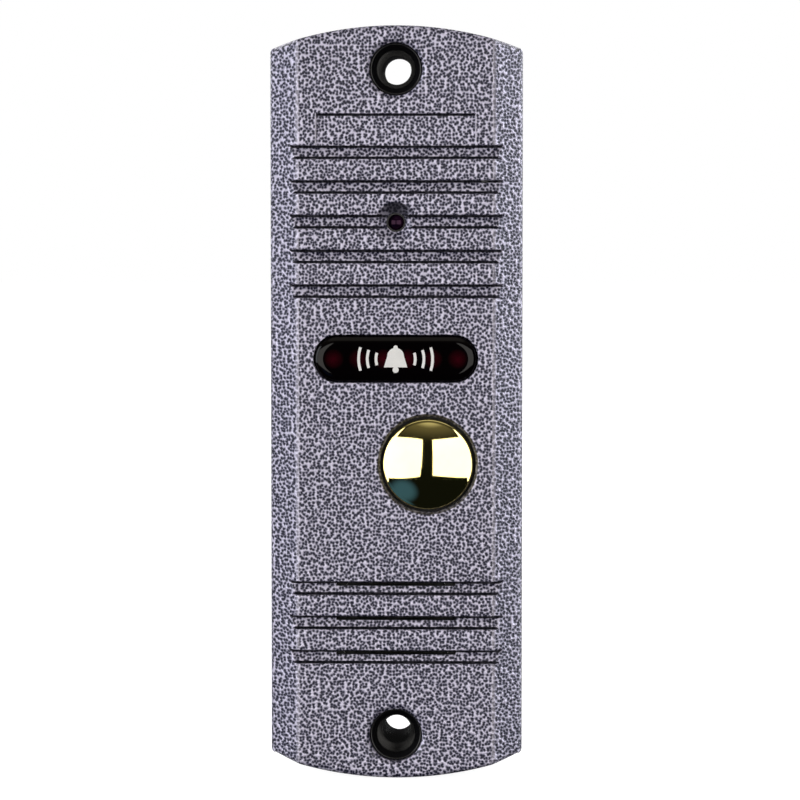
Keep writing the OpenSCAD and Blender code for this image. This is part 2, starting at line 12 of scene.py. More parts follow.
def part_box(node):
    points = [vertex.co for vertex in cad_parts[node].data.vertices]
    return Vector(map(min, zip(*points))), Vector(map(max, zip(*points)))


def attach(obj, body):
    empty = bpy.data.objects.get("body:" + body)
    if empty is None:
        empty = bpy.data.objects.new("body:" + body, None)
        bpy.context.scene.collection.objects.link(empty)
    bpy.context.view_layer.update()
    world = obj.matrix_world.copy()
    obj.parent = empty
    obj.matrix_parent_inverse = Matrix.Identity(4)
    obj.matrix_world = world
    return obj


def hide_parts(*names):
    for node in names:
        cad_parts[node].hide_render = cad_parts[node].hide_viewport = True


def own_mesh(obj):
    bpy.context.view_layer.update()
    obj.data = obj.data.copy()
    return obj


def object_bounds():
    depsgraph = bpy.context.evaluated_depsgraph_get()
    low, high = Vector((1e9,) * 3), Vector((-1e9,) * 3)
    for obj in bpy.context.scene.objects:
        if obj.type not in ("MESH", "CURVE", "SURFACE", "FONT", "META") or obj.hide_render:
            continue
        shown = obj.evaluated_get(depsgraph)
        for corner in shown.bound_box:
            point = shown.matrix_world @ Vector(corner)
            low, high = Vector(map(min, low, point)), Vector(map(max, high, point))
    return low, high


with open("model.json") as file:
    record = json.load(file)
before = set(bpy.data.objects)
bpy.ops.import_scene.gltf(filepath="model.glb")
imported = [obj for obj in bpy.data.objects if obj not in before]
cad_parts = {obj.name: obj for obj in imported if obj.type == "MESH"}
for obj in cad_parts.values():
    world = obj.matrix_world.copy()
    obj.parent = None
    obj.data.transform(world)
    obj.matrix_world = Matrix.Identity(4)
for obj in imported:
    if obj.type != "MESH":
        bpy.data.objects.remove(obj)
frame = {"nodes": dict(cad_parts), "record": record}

CAD_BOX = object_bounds()

# ---------- places and sizes, in millimetres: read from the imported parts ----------

MM = 0.001


def drawn_box(node):
    """A part's lowest and highest corner as drawn: across, up, and out of the wall."""
    low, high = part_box(node)
    lowest = (low.x, low.z, -high.y)
    highest = (high.x, high.z, -low.y)
    return tuple(tuple(round(v / MM, 2) for v in corner) for corner in (lowest, highest))


def drawn_size(node):
    """A part's width, height and depth."""
    low, high = drawn_box(node)
    return tuple(round(b - a, 2) for a, b in zip(low, high))


def centre_of(node):
    """The middle of a part, across and up."""
    low, high = drawn_box(node)
    return (round((low[0] + high[0]) / 2, 2), round((low[1] + high[1]) / 2, 2))


def corner_places(node, head_r):
    """Places of the outermost screws of a set: upper right, upper left, lower right, lower left."""
    low, high = drawn_box(node)
    left, lower = (round(v + head_r, 1) for v in low[:2])
    right, upper = (round(v - head_r, 1) for v in high[:2])
    return [(right, upper), (left, upper), (right, lower), (left, lower)]


def mount_sizes(name):
    """The sizes that the record gives for one of the panel's mounts."""
    return next(m["dims"] for m in frame["record"]["mounts"] if m["name"] == name)


HOUSING_W, HOUSING_H, HOUSING_D = drawn_size("front_housing")
END_ARC_R = 58.0
BEVEL = 4.6
CORNER_R = 1.0
SIDE_WALL = 2.0
FRONT_WALL = 2.6
RIM_WALL = 1.0
COVER_T = 2.0
REAR_LEDGE = 2.8
INNER_FRONT = HOUSING_D - FRONT_WALL
CUT_START = INNER_FRONT - 1
CUT_END = HOUSING_D + 1
LONG_EDGE_R = 1.0
SIDE_EDGE_R = 1.6
END_EDGE_R = 0.8
REAR_EDGE_R = 0.25
LIP_R = 0.2

GROOVE_PITCH = 5.6
GROOVE_H = 2.15
GROOVE_DEEP = 1.1
GROOVE_SHALLOW = 0.55
GROOVE_CREASE = 0.4
UPPER_GROOVES = 5
UPPER_GROOVE_Y = 41.7
LOWER_GROOVES = 3
LOWER_GROOVE_Y = -28.9

LABEL_W = 25.6
LABEL_H = 5.1
LABEL_DEPTH = 0.4
LABEL_CREASE = 0.35
SLOT_HALF_W = 9.7
SLOT_H = 0.45
SLOT_DROP = 0.3
SLIT_CLEARANCE = 0.15
MIC_SLIT_W = 1.4
MIC_SLIT_H = 0.4
MIC_CUT_START = 17.0

SCREW_PITCH = mount_sizes("wall_screws")["spacing_y_mm"]
SCREW_HOLE_R = mount_sizes("wall_screws")["hole_r_mm"]
SCREW_HEAD_R = 3.1
TUBE_R = 4.15
TUBE_HOLE_R = 4.3
TUBE_FRONT = drawn_box("back_cover")[1][2]
TUBE_FUNNEL = 1.1
TUBE_STEP = 16.0
TUBE_POST_R = 5.8
TUBE_POST_BACK = 14.0
TUBE_CHAMFER = 0.5

BUTTON = centre_of("button_cap")
CAP_R = drawn_size("button_cap")[0] / 2
CAP_PROUD = drawn_box("button_cap")[1][2] - HOUSING_D
DOME_R = 20.0
FLANGE_FRONT = drawn_box("button_cap")[0][2]
PLUG_FRONT = drawn_box("button_carrier")[1][2]
PLUG_R = 6.75
BUTTON_SINK = 0.85
BUTTON_GAP = 0.4
BUTTON_SINK_DEPTH = 0.53
SPRING_TURNS = 3
STEPS_PER_TURN = 40
WIRE_R = 0.22

WINDOW_FLANGE_T = 1.0
WINDOW_FLANGE_W = 1.6
WINDOW_W = drawn_size("window_lens")[0] - 2 * WINDOW_FLANGE_W
WINDOW_H = drawn_size("window_lens")[1] - 2 * WINDOW_FLANGE_W
WINDOW_Y = centre_of("window_lens")[1]
WINDOW_BACK = drawn_box("window_lens")[0][2]
WINDOW_FRONT = drawn_box("window_lens")[1][2]

CAMERA_Y = centre_of("lens_barrel")[1]
PINHOLE_R = 1.55
PINHOLE_CONE_R = 3.355
PINHOLE_CONE_DEPTH = 1.6
LENS_POCKET_R = 2.7

BOARD_FRONT = drawn_box("main_board")[1][2]
PILOT_R = 1.05
PILOT_SIDES = 28
POST_TOP = INNER_FRONT + 0.3
BOARD_POST_R = 2.3
COVER_POST_R = 2.6
SPEAKER_POST_R = 2.0
SPEAKER_SEAT = 18.8
GUIDE_POST_R = 1.9
GUIDE_SEAT = 17.4
COVER_HEAD_R = 2.3
SMALL_HEAD_R = 2.0
BOARD_POSTS = corner_places("board_screws", SMALL_HEAD_R)
COVER_POSTS = corner_places("cover_screws", COVER_HEAD_R)
SPEAKER_POSTS = corner_places("speaker_screws", SMALL_HEAD_R)[:2]
GUIDE_POSTS = corner_places("guide_screws", SMALL_HEAD_R)[1:3]
SCREW_PLACES = [(0, SCREW_PITCH / 2), (0, -SCREW_PITCH / 2)]

MIC_SLIT = (centre_of("mic_capsule")[0], UPPER_GROOVE_Y - GROOVE_PITCH - 0.2)
GROMMET = centre_of("cable_grommet")
GROMMET_R = 5.2
GROMMET_NECK_R = 4.0
GROMMET_BORE_R = 2.5
GROMMET_STEP = 0.8
GROMMET_LIP = 0.3
TRIMMER = centre_of("trimmer_rotor")
TRIMMER_HOLE_R = 1.8

# stands a drawn point (x, up, out of the wall) up in the shared frame, in metres
STAND = Matrix(((MM, 0, 0, 0), (0, 0, -MM, 0), (0, MM, 0, 0), (0, 0, 0, 1)))


# ---------- outlines and sections ----------


def arc(centre, radius, start, end, steps):
    """Points along an arc, angles in degrees."""
    points = []
    for i in range(steps + 1):
        a = math.radians(start + (end - start) * i / steps)
        points.append((centre[0] + radius * math.cos(a), centre[1] + radius * math.sin(a)))
    return points


def panel_outline(inset, steps=96):
    """The panel's outline: straight sides, arched ends and softly rounded corners."""
    fillet = CORNER_R
    arc_centre = HOUSING_H / 2 - END_ARC_R
    corner_x = HOUSING_W / 2 - fillet
    rise = math.sqrt((END_ARC_R - fillet) ** 2 - corner_x ** 2)
    corner_up = arc_centre + rise
    reach = math.degrees(math.atan2(rise, corner_x))
    small = fillet - inset
    points = []
    for turn in (0, 180):
        flip = 1 if turn == 0 else -1
        first = (flip * corner_x, flip * corner_up)
        last = (-flip * corner_x, flip * corner_up)
        end = (0, flip * arc_centre)
        if small > 0.05:
            points += arc(first, small, turn, turn + reach, 8)[:-1]
            points += arc(end, END_ARC_R - inset, turn + reach, turn + 180 - reach, steps)
            points += arc(last, small, turn + 180 - reach, turn + 180, 8)[1:]
        else:
            half = HOUSING_W / 2 - inset
            inner = math.degrees(math.acos(half / (END_ARC_R - inset)))
            points += arc(end, END_ARC_R - inset, turn + inner, turn + 180 - inner, steps)
    return points


def rounded_corner(before, corner, after, radius, steps=5):
    """Points of a tangent arc in place of a corner."""
    c = Vector(corner)
    to_before = (Vector(before) - c).normalized()
    to_after = (Vector(after) - c).normalized()
    half = to_before.angle(to_after) / 2
    reach = radius / math.tan(half)
    centre = c + (to_before + to_after).normalized() * radius / math.sin(half)
    first = c + to_before * reach - centre
    last = c + to_after * reach - centre
    turn = first.angle_signed(last)
    points = []
    for i in range(steps + 1):
        a = -turn * i / steps
        x = first.x * math.cos(a) - first.y * math.sin(a)
        y = first.x * math.sin(a) + first.y * math.cos(a)
        points.append((centre.x + x, centre.y + y))
    return points


def stadium(width, height, steps=32):
    """A slot with round ends."""
    offset = (width - height) / 2
    right = arc((offset, 0), height / 2, -90, 90, steps)
    left = arc((-offset, 0), height / 2, 90, 270, steps)
    return right + left


def circle(radius, centre=(0, 0), steps=64):
    """A closed circle."""
    return arc(centre, radius, 0, 360, steps)[:-1]


def rectangle(x, up, width, height):
    """A rectangle about a centre."""
    w = width / 2
    h = height / 2
    return [(x - w, up - h), (x + w, up - h), (x + w, up + h), (x - w, up + h)]


# ---------- solids ----------


def loft(loops):
    """A closed solid through matching loops of points."""
    bm = bmesh.new()
    rings = [[bm.verts.new(p) for p in loop] for loop in loops]
    for a, b in zip(rings, rings[1:]):
        for i in range(len(a)):
            j = (i + 1) % len(a)
            bm.faces.new((a[i], a[j], b[j], b[i]))
    bm.faces.new(list(reversed(rings[0])))
    bm.faces.new(rings[-1])
    bmesh.ops.recalc_face_normals(bm, faces=bm.faces)
    return bm


def prism(outline, start, end):
    """An outline carried from one depth to another."""
    return loft([[(x, up, out) for x, up in outline] for out in (start, end)])


def bar_across(section, half_width):
    """A section of (up, out) points carried across the panel."""
    return loft([[(x, up, out) for up, out in section] for x in (-half_width, half_width)])


def bar_along(section, half_height):
    """A section of (x, out) points carried along the panel."""
    return loft([[(x, up, out) for x, out in section] for up in (-half_height, half_height)])


def lathe(section, centre=(0, 0), segments=96, ring=False):
    """A section of (radius, out) points turned about an axis that points out of the wall."""
    bm = bmesh.new()
    rows = []
    for radius, out in section:
        if radius < 1e-6:
            rows.append([bm.verts.new((centre[0], centre[1], out))])
        else:
            turned = circle(radius, centre, segments)
            rows.append([bm.verts.new((x, up, out)) for x, up in turned])
    pairs = list(zip(rows, rows[1:]))
    if ring:
        pairs.append((rows[-1], rows[0]))
    for a, b in pairs:
        for k in range(segments):
            n = k + 1
            corners = [a[k % len(a)], a[n % len(a)], b[n % len(b)], b[k % len(b)]]
            corners = list(dict.fromkeys(corners))
            if len(corners) > 2:
                bm.faces.new(corners)
    bmesh.ops.recalc_face_normals(bm, faces=bm.faces)
    return bm


def disc(radius, start, end, centre=(0, 0), segments=64):
    """A plain pin from one depth to another."""
    return lathe([(0, start), (radius, start), (radius, end), (0, end)], centre, segments)


def bevelled_section(half_width, depth, corner):
    """Section of a bar with bevelled front corners."""
    return [
        (-half_width, 0), (half_width, 0), (half_width, depth - corner),
        (half_width - corner, depth), (corner - half_width, depth), (-half_width, depth - corner),
    ]


# ---------- objects and booleans ----------


def add_object(name, data):
    """A new object in the scene."""
    obj = bpy.data.objects.new(name, data)
    bpy.context.scene.collection.objects.link(obj)
    return obj


def make_object(name, bm):
    """A new mesh object, still in millimetres and lying on its back."""
    mesh = bpy.data.meshes.new(name)
    bm.to_mesh(mesh)
    bm.free()
    return add_object(name, mesh)


def discard(obj):
    """Removes an object that was only a step on the way, and its mesh."""
    mesh = obj.data
    bpy.data.objects.remove(obj)
    bpy.data.meshes.remove(mesh)


@contextmanager
def editing(obj):
    """An object's mesh, open for editing and written back afterwards."""
    bm = bmesh.new()
    bm.from_mesh(obj.data)
    yield bm
    bm.to_mesh(obj.data)
    bm.free()


def settle(obj):
    """Replaces a mesh by what its modifiers make of it."""
    bpy.context.view_layer.update()
    graph = bpy.context.evaluated_depsgraph_get()
    mesh = bpy.data.meshes.new_from_object(obj.evaluated_get(graph))
    old = obj.data
    obj.modifiers.clear()
    obj.data = mesh
    bpy.data.meshes.remove(old)


def combine(obj, solids, operation):
    """Cuts, joins or intersects a piece with each solid in turn."""
    tools = []
    for bm in solids:
        tool = make_object("tool", bm)
        modifier = obj.modifiers.new("tool", "BOOLEAN")
        modifier.operation = operation
        modifier.solver = "EXACT"
        modifier.object = tool
        tools.append(tool)
    settle(obj)
    for tool in tools:
        discard(tool)


def clean(obj):
    """Merges doubled points and the flat faces that the booleans split."""
    same_place = 0.0005
    flat = math.radians(0.3)
    with editing(obj) as bm:
        bmesh.ops.remove_doubles(bm, verts=bm.verts, dist=same_place)
        bmesh.ops.dissolve_limit(bm, angle_limit=flat, verts=bm.verts, edges=bm.edges)


def turns_more(edge, angle):
    """True where the two faces beside an edge turn by more than an angle in degrees."""
    return len(edge.link_faces) == 2 and edge.calc_face_angle() > math.radians(angle)


def round_edges(obj, width_of, segments=3, least_angle=20):
    """Rounds each edge by the width, in millimetres, that width_of gives for it."""
    with editing(obj) as bm:
        weight = bm.edges.layers.float.new("bevel_weight_edge")
        for edge in bm.edges:
            if turns_more(edge, least_angle):
                edge[weight] = min(1.0, width_of(edge))
    bevel = obj.modifiers.new("rounding", "BEVEL")
    bevel.limit_method = "WEIGHT"
    bevel.width = 1.0
    bevel.segments = segments
    bevel.use_clamp_overlap = False
    bevel.miter_outer = "MITER_SHARP"
    settle(obj)


def smooth(obj, sharp_angle=40):
    """Shades smoothly across rounded edges and keeps broad faces flat."""
    with editing(obj) as bm:
        for face in bm.faces:
            face.smooth = True
        for edge in bm.edges:
            edge.smooth = not turns_more(edge, sharp_angle)
    weighted = obj.modifiers.new("weighted", "WEIGHTED_NORMAL")
    weighted.keep_sharp = True
    settle(obj)


def finish_piece(obj, body, slot, *nodes):
    """Stands a piece up, lets it ride on its body and hides the nodes it stands for."""
    obj.data.transform(STAND)
    obj.data.materials.clear()
    obj.data.materials.append(MATERIALS[slot])
    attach(obj, body)
    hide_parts(*nodes)


# ---------- front housing ----------


def groove(top):
    """A groove across the panel, deeper along its upper edge, with a crease at each corner."""
    deep = HOUSING_D - GROOVE_DEEP
    shallow = HOUSING_D - GROOVE_SHALLOW
    bottom = top - GROOVE_H
    section = [
        (top, CUT_END), (top, deep - GROOVE_CREASE), (top - GROOVE_CREASE, deep),
        (bottom + GROOVE_CREASE, shallow), (bottom, shallow - GROOVE_CREASE), (bottom, CUT_END),
    ]
    return bar_across(section, HOUSING_W / 2 + 1)


def groove_tops():
    """Heights of every groove's upper edge."""
    upper = [UPPER_GROOVE_Y - i * GROOVE_PITCH for i in range(UPPER_GROOVES)]
    lower = [LOWER_GROOVE_Y - i * GROOVE_PITCH for i in range(LOWER_GROOVES)]
    return upper + lower


def housing_hollows():
    """The cavity for the electronics and the ledge that the back cover sits in."""
    bevel_line = HOUSING_W / 2 + HOUSING_D - BEVEL
    inner_half = HOUSING_W / 2 - SIDE_WALL
    inner_bevel = inner_half + INNER_FRONT - (bevel_line - SIDE_WALL * math.sqrt(2))
    section = bevelled_section(inner_half, INNER_FRONT + 1, inner_bevel)
    section = [(x, out - 1) for x, out in section]
    cavity = make_object("cavity", bar_along(section, HOUSING_H / 2 + 1))
    combine(cavity, [prism(panel_outline(SIDE_WALL), -2, HOUSING_D)], "INTERSECT")
    bm = bmesh.new()
    bm.from_mesh(cavity.data)
    discard(cavity)
    return [bm, prism(panel_outline(RIM_WALL), -1, REAR_LEDGE)]


def housing_posts():
    """Posts inside the housing for its screws, each set with its radius and its seat."""
    sets = [
        (BOARD_POSTS, BOARD_POST_R, BOARD_FRONT), (COVER_POSTS, COVER_POST_R, COVER_T),
        (SPEAKER_POSTS, SPEAKER_POST_R, SPEAKER_SEAT), (GUIDE_POSTS, GUIDE_POST_R, GUIDE_SEAT),
        (SCREW_PLACES, TUBE_POST_R, TUBE_POST_BACK),
    ]
    return [disc(r, seat, POST_TOP, place) for places, r, seat in sets for place in places]


def housing_pilot_holes():
    """Screw holes in the posts, each set with the depths that its holes run between."""
    wall_end = 21.2
    sets = [
        (BOARD_POSTS, BOARD_FRONT - 1, 16), (COVER_POSTS, 0, 11),
        (SPEAKER_POSTS, SPEAKER_SEAT - 1, wall_end), (GUIDE_POSTS, GUIDE_SEAT - 0.4, wall_end),
    ]
    holes = []
    for places, start, end in sets:
        holes += [disc(PILOT_R, start, end, place, PILOT_SIDES) for place in places]
    return holes


def tube_hole(place):
    """The opening for a screw tube, chamfered at the front."""
    start = TUBE_POST_BACK - 1
    mouth = TUBE_HOLE_R + TUBE_CHAMFER
    section = [
        (0, start), (TUBE_HOLE_R, start), (TUBE_HOLE_R, HOUSING_D - TUBE_CHAMFER),
        (mouth, HOUSING_D), (mouth, CUT_END), (0, CUT_END),
    ]
    return lathe(section, place)


def button_hole():
    """The opening for the cap, countersunk at the front."""
    hole_r = CAP_R + BUTTON_GAP
    mouth = CAP_R + BUTTON_SINK
    section = [
        (0, CUT_START), (hole_r, CUT_START), (hole_r, HOUSING_D - BUTTON_SINK_DEPTH),
        (mouth, HOUSING_D), (mouth, CUT_END), (0, CUT_END),
    ]
    return lathe(section, BUTTON, 128)


def camera_hole():
    """The pinhole in front of the lens and the wide cone around it."""
    pocket_end = INNER_FRONT + 0.5
    section = [
        (0, CUT_START), (LENS_POCKET_R, CUT_START), (LENS_POCKET_R, pocket_end),
        (PINHOLE_R, pocket_end), (PINHOLE_R, HOUSING_D - PINHOLE_CONE_DEPTH),
        (PINHOLE_CONE_R, HOUSING_D), (PINHOLE_CONE_R, CUT_END), (0, CUT_END),
    ]
    return lathe(section, (0, CAMERA_Y), 96)


def housing_openings():
    """Every opening through the front wall."""
    window = stadium(WINDOW_W + 2 * SLIT_CLEARANCE, WINDOW_H + 2 * SLIT_CLEARANCE)
    window = [(x, up + WINDOW_Y) for x, up in window]
    openings = [tube_hole(place) for place in SCREW_PLACES]
    openings += [prism(window, CUT_START, CUT_END), button_hole(), camera_hole()]
    for i in range(LOWER_GROOVES):
        height = LOWER_GROOVE_Y - i * GROOVE_PITCH - SLOT_DROP - SLOT_H / 2
        slot = rectangle(0, height, 2 * SLOT_HALF_W, SLOT_H)
        openings.append(prism(slot, CUT_START, CUT_END))
    mic_slit = rectangle(*MIC_SLIT, MIC_SLIT_W, MIC_SLIT_H)
    openings.append(prism(mic_slit, MIC_CUT_START, CUT_END))
    return openings


def label_recess():
    """The shallow recess above the uppermost groove, with a crease along its top."""
    floor = HOUSING_D - LABEL_DEPTH
    top = UPPER_GROOVE_Y + LABEL_H
    section = [
        (top, CUT_END), (top, floor - LABEL_CREASE), (top - LABEL_CREASE, floor),
        (UPPER_GROOVE_Y - 0.1, floor), (UPPER_GROOVE_Y - 0.1, CUT_END),
    ]
    return bar_across(section, LABEL_W / 2)


def front_surface(x):
    """Depth of the housing's outer front surface at a distance from the middle."""
    return min(HOUSING_D, HOUSING_W / 2 + HOUSING_D - BEVEL - abs(x))


def on_end_arc(point):
    """True on the arched top or bottom."""
    centre = HOUSING_H / 2 - END_ARC_R
    return abs(math.hypot(point.x, abs(point.y) - centre) - END_ARC_R) < 0.02


def shell_section():
    """Section of the housing's outside, its long edges rounded."""
    plain = bevelled_section(HOUSING_W / 2, HOUSING_D, BEVEL)
    radii = [0, 0, SIDE_EDGE_R, LONG_EDGE_R, LONG_EDGE_R, SIDE_EDGE_R]
    section = []
    for i, radius in enumerate(radii):
        if radius:
            section += rounded_corner(plain[i - 1], plain[i], plain[(i + 1) % 6], radius)
        else:
            section.append(plain[i])
    return section


def housing_rounding(edge):
    """Width of the rounding along an end, the rear rim, or the lip of a groove or opening."""
    if not edge.is_convex:
        return 0.0
    a = edge.verts[0].co
    b = edge.verts[1].co
    middle = (a + b) / 2
    below = front_surface(middle.x) - middle.z
    at_end = abs(a.y) > 52 and abs(b.y) > 52 and on_end_arc(a) and on_end_arc(b)
    if middle.z < 0.01:
        return REAR_EDGE_R if abs(middle.x) > HOUSING_W / 2 - 0.5 or at_end else 0.0
    if at_end:
        return END_EDGE_R if below < 0.3 else 0.0
    on_front = -0.02 < below < 0.3 and middle.z > HOUSING_D - BEVEL + 0.5
    return LIP_R if on_front and abs(middle.y) < HOUSING_H / 2 - 2.5 else 0.0


def painted_shade_measure(face):
    """Painted shade for a face: how dark it is coloured where shade falls, on the walls and creases
    of the grooves and the label, on the downward-facing part of the lens cone and in the ring round
    the button.
    """
    x, up, out = face.center
    below = front_surface(x) - out
    in_groove = any(top - GROOVE_H - 0.01 < up < top + 0.01 for top in groove_tops())
    label_top = UPPER_GROOVE_Y + LABEL_H + 0.01
    in_label = abs(x) < LABEL_W / 2 + 0.01 and UPPER_GROOVE_Y < up < label_top
    upright = abs(face.normal.y)
    if upright > 0.5 and 0.02 < below < 1.8 and (in_groove or in_label):
        return min(1.0, upright * 1.3)
    near_lens = math.hypot(x, up - CAMERA_Y) < 3.6
    if near_lens and below > 0.05:
        return max(0.0, min(0.9, -face.normal.y * 1.3))
    near_button = math.hypot(x - BUTTON[0], up - BUTTON[1]) < CAP_R + BUTTON_SINK + 0.1
    if near_button and below > 0.08:
        return 0.8
    return 0.0


def painted_highlight_measure(face):
    """Painted highlight for a face: how much lighter it is coloured where the rounded long front
    edges and the label's sides catch the side lights.
    """
    x, up, out = face.center
    on_long_edge = abs(abs(x) - (HOUSING_W / 2 - BEVEL)) < 0.6 and 0.75 < face.normal.z < 0.99
    if on_long_edge and HOUSING_D - out < 0.4:
        return 0.35
    beside_label = UPPER_GROOVE_Y < up < UPPER_GROOVE_Y + LABEL_H
    on_label_side = beside_label and abs(abs(x) - LABEL_W / 2) < 0.25
    if on_label_side and abs(face.normal.x) > 0.1 and HOUSING_D - out < LABEL_DEPTH:
        return 0.9
    return 0.0


def store_paint(obj, name, measure):
    """Stores one paint value for each face."""
    attribute = obj.data.attributes.new(name, "FLOAT", "FACE")
    attribute.data.foreach_set("value", [measure(face) for face in obj.data.polygons])


def build_front_housing():
    """The die-cast housing with every visible edge rounded."""
    obj = make_object("housing_shell", bar_along(shell_section(), HOUSING_H / 2 + 1))
    combine(obj, [prism(panel_outline(0), 0, HOUSING_D + 1)], "INTERSECT")
    combine(obj, housing_hollows(), "DIFFERENCE")
    combine(obj, housing_posts(), "UNION")
    combine(obj, housing_pilot_holes() + housing_openings(), "DIFFERENCE")
    combine(obj, [groove(top) for top in groove_tops()] + [label_recess()], "DIFFERENCE")
    clean(obj)
    round_edges(obj, housing_rounding, 3, 40)
    smooth(obj)
    # Painted shade, stored as one value on each face.
    store_paint(obj, "painted_shade", painted_shade_measure)
    # Painted highlight, stored as one value on each face.
    store_paint(obj, "painted_highlight", painted_highlight_measure)
    finish_piece(obj, "station", "hammertone_paint", "front_housing")


# ---------- button, window, cover and the small visible pieces ----------


def build_button_cap():
    """The domed metal cap with a fine rounded rim."""
    top = HOUSING_D + CAP_PROUD
    fillet = 0.45
    centre_out = top - DOME_R
    edge_r = CAP_R - fillet
    reach = math.degrees(math.asin(edge_r / DOME_R))
    dome = arc((0, centre_out), DOME_R, 90, 90 - reach, 36)
    join = centre_out + DOME_R * math.cos(math.radians(reach))
    rim = arc((edge_r, join - fillet), fillet, 88 - reach, 0, 10)
    section = dome + rim + [(CAP_R, FLANGE_FRONT)]
    section += [(PLUG_R, FLANGE_FRONT), (PLUG_R, PLUG_FRONT), (0, PLUG_FRONT)]
    obj = make_object("domed_cap", lathe(section, BUTTON, 160))
    smooth(obj)
    finish_piece(obj, "call_button", "gold_plate", "button_cap")


def build_window():
    """The dark window: a slot-shaped plate whose front edge falls away in a soft curve."""
    edge_w = 1.5
    edge_d = 0.9
    flange = (WINDOW_W + 2 * WINDOW_FLANGE_W, WINDOW_H + 2 * WINDOW_FLANGE_W)
    step = WINDOW_BACK + WINDOW_FLANGE_T
    levels = [(flange, WINDOW_BACK), (flange, step), ((WINDOW_W, WINDOW_H), step)]
    for i in range(13):
        a = math.radians(90 * i / 12)
        inset = edge_w * (1 - math.cos(a))
        out = WINDOW_FRONT - edge_d * (1 - math.sin(a))
        levels.append(((WINDOW_W - 2 * inset, WINDOW_H - 2 * inset), out))
    loops = []
    for (width, height), out in levels:
        loops.append([(x, up + WINDOW_Y, out) for x, up in stadium(width, height)])
    obj = make_object("dark_window", loft(loops))
    smooth(obj)
    finish_piece(obj, "station", "window_acrylic", "window_lens")


def tube_bore(place):
    """The stepped bore of a screw tube, opening in a soft funnel."""
    mouth = TUBE_R - 0.2
    start = TUBE_FRONT - TUBE_FUNNEL
    section = [(0, -1), (SCREW_HOLE_R, -1), (SCREW_HOLE_R, TUBE_STEP), (SCREW_HEAD_R, TUBE_STEP)]
    section += [(SCREW_HEAD_R, start - 0.1), (SCREW_HEAD_R + 0.08, start + 0.05)]
    section += [(mouth, TUBE_FRONT + 0.01), (mouth, TUBE_FRONT + 1), (0, TUBE_FRONT + 1)]
    return lathe(section, place)


def cover_rounding(edge):
    """Width of the rounding along one edge of the back cover."""
    middle = (edge.verts[0].co + edge.verts[1].co) / 2
    if not edge.is_convex:
        return 0.0
    if middle.z < 0.01:
        return REAR_EDGE_R
    if middle.z > TUBE_FRONT - 0.1:
        return 0.08
    return 0.0


def build_back_cover():
    """The plate that closes the back, with the two tubes for the wall screws."""
    obj = make_object("rear_plate", prism(panel_outline(RIM_WALL + 0.15), 0, COVER_T))
    tubes = [disc(TUBE_R, 1, TUBE_FRONT, place, 96) for place in SCREW_PLACES]
    combine(obj, tubes, "UNION")
    cuts = [tube_bore(place) for place in SCREW_PLACES]
    beyond = COVER_T + 1
    clear_r = 1.25
    sunk = [(0, -0.5), (2.45, -0.5), (2.4, 0), (clear_r, 1.2), (clear_r, beyond), (0, beyond)]
    cuts += [lathe(sunk, place, 48) for place in COVER_POSTS]
    seat_r = 5.3
    seat = [(0, -1), (seat_r, -1), (seat_r, GROMMET_STEP), (GROMMET_NECK_R, GROMMET_STEP)]
    seat += [(GROMMET_NECK_R, beyond), (0, beyond)]
    cuts.append(lathe(seat, GROMMET))
    cuts.append(disc(TRIMMER_HOLE_R, -1, beyond, TRIMMER, 48))
    combine(obj, cuts, "DIFFERENCE")
    clean(obj)
    round_edges(obj, cover_rounding)
    smooth(obj)
    finish_piece(obj, "station", "black_gloss_plastic", "back_cover")


def build_cover_screws():
    """Four countersunk screws with cross recesses."""
    head_r = COVER_HEAD_R - 0.02
    shank_r = 1.0
    length = 10.0
    section = [(0, 0), (2.1, 0), (head_r, 0.1), (head_r, 0.2), (shank_r, 1.25)]
    section += [(shank_r, length - 0.4), (shank_r / 2, length), (0, length)]
    obj = None
    for place in COVER_POSTS:
        screw = make_object("cover_screw_set", lathe(section, place, 64))
        cross = [prism(rectangle(*place, *size), -1, 0.9) for size in ((2.6, 0.6), (0.6, 2.6))]
        combine(screw, cross, "DIFFERENCE")
        obj = join_meshes(obj, screw)
    obj.name = "cover_screw_set"
    smooth(obj)
    finish_piece(obj, "station", "zinc_screw_steel", "cover_screws")


def join_meshes(first, second):
    """Adds the second object's mesh to the first, or starts with it."""
    if first is None:
        return second
    with editing(first) as bm:
        bm.from_mesh(second.data)
    discard(second)
    return first


def build_grommet():
    """The rubber grommet of the cable entry, with soft lips."""
    outer = GROMMET_R - GROMMET_LIP
    inner = GROMMET_BORE_R + GROMMET_LIP
    far_lip = COVER_T + 0.4
    section = arc((outer, GROMMET_LIP), GROMMET_LIP, 270, 360, 5)
    section += [(GROMMET_R, GROMMET_STEP), (GROMMET_NECK_R, GROMMET_STEP)]
    section += [(GROMMET_NECK_R, COVER_T), (GROMMET_R, COVER_T)]
    section += arc((outer, far_lip), GROMMET_LIP, 0, 90, 5)
    section += arc((inner, far_lip), GROMMET_LIP, 90, 180, 5)
    section += arc((inner, GROMMET_LIP), GROMMET_LIP, 180, 270, 5)
    obj = make_object("cable_entry_grommet", lathe(section, GROMMET, 72, ring=True))
    smooth(obj)
    finish_piece(obj, "station", "black_rubber", "cable_grommet")


def sweep(path, radius, sides=12):
    """A round wire along a path that climbs outward, closed at both ends."""
    bm = bmesh.new()
    rings = []
    for i, point in enumerate(path):
        ahead = path[min(i + 1, len(path) - 1)] - path[max(i - 1, 0)]
        across = ahead.cross(Vector((0, 0, 1))).normalized()
        along = across.cross(ahead).normalized()
        ring = []
        for k in range(sides):
            a = 2 * math.pi * k / sides
            ring.append(bm.verts.new(point + radius * (math.cos(a) * across + math.sin(a) * along)))
        rings.append(ring)
    for first, second in zip(rings, rings[1:]):
        for k in range(sides):
            after = (k + 1) % sides
            bm.faces.new([first[k], first[after], second[after], second[k]])
    bm.faces.new(rings[0][::-1])
    bm.faces.new(rings[-1])
    bmesh.ops.recalc_face_normals(bm, faces=bm.faces)
    return bm


